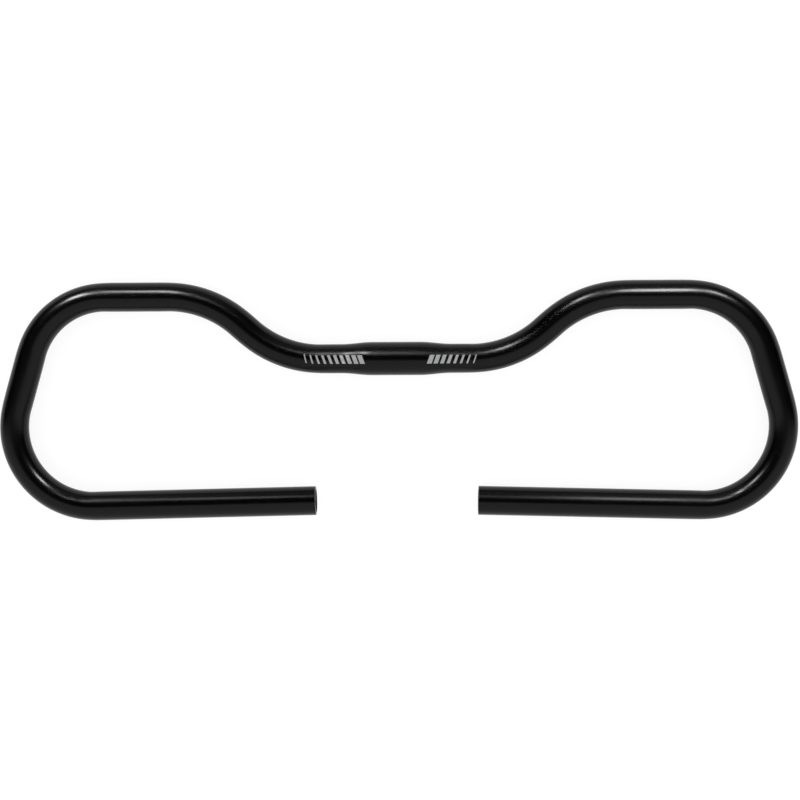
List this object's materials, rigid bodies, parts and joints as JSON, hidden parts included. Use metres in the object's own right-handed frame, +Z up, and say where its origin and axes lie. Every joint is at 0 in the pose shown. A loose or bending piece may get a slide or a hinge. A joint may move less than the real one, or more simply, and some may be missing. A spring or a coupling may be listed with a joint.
{
  "type": "comfort handlebar",
  "caption": "Bicycle handlebar bent flat from tube: a thicker clamp zone in the middle, a forward bow, and hand loops whose open ends face each other.",
  "frame": {"origin": "middle of the clamp zone, on the tube's centreline", "axes": "+X along the clamp zone, to the right in the picture; +Y forward, away from the rider, up in the picture; +Z up, out of the bar's flat plane"},
  "size_m": [0.6088, 0.1824, 0.0254],
  "materials": {
    "black_coat": "semi-gloss black coat on aluminium tube"
  },
  "bodies": {
    "root": {"handlebar": "black_coat"}
  },
  "joints": []
}
